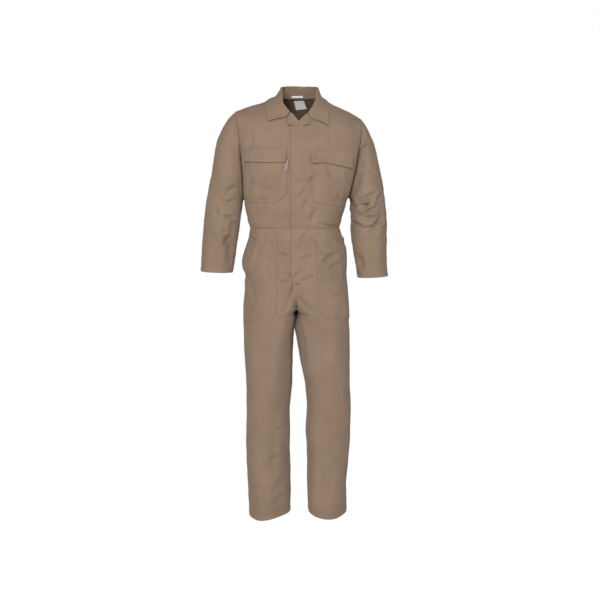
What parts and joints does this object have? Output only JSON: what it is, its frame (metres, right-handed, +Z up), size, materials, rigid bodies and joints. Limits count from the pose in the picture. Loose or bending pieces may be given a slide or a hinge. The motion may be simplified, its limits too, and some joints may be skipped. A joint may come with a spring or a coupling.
{
  "type": "boiler suit",
  "caption": "Long-sleeved one-piece work suit, filled out as worn: open collar, covered front closing, flapped chest pockets, large hip patch pockets.",
  "frame": {"origin": "between the shoulders, level with the base of the neck, in the plane of the side seams: where the wearer's shoulders carry the suit", "axes": "+Z up along the wearer, -Y the front, +X the wearer's left"},
  "size_m": [0.6996, 0.2736, 1.6091],
  "materials": {
    "khaki_twill": "matte fine twill",
    "white_label": "smooth woven label",
    "grey_tab": "smooth woven tab"
  },
  "bodies": {
    "root": {"front_right": "khaki_twill", "front_left": "khaki_twill", "back": "khaki_twill", "sleeve_right": "khaki_twill", "sleeve_left": "khaki_twill", "trouser_front_right": "khaki_twill", "trouser_front_left": "khaki_twill", "trouser_back_right": "khaki_twill", "trouser_back_left": "khaki_twill", "collar": "khaki_twill", "revers_right": "khaki_twill", "revers_left": "khaki_twill", "fly_strip": "khaki_twill", "chest_pocket_right": "khaki_twill", "chest_pocket_left": "khaki_twill", "chest_flap_right": "khaki_twill", "chest_flap_left": "khaki_twill", "hip_pocket_right": "khaki_twill", "hip_pocket_left": "khaki_twill", "neck_label": "white_label", "care_label": "white_label", "pocket_tab": "grey_tab"}
  },
  "joints": []
}
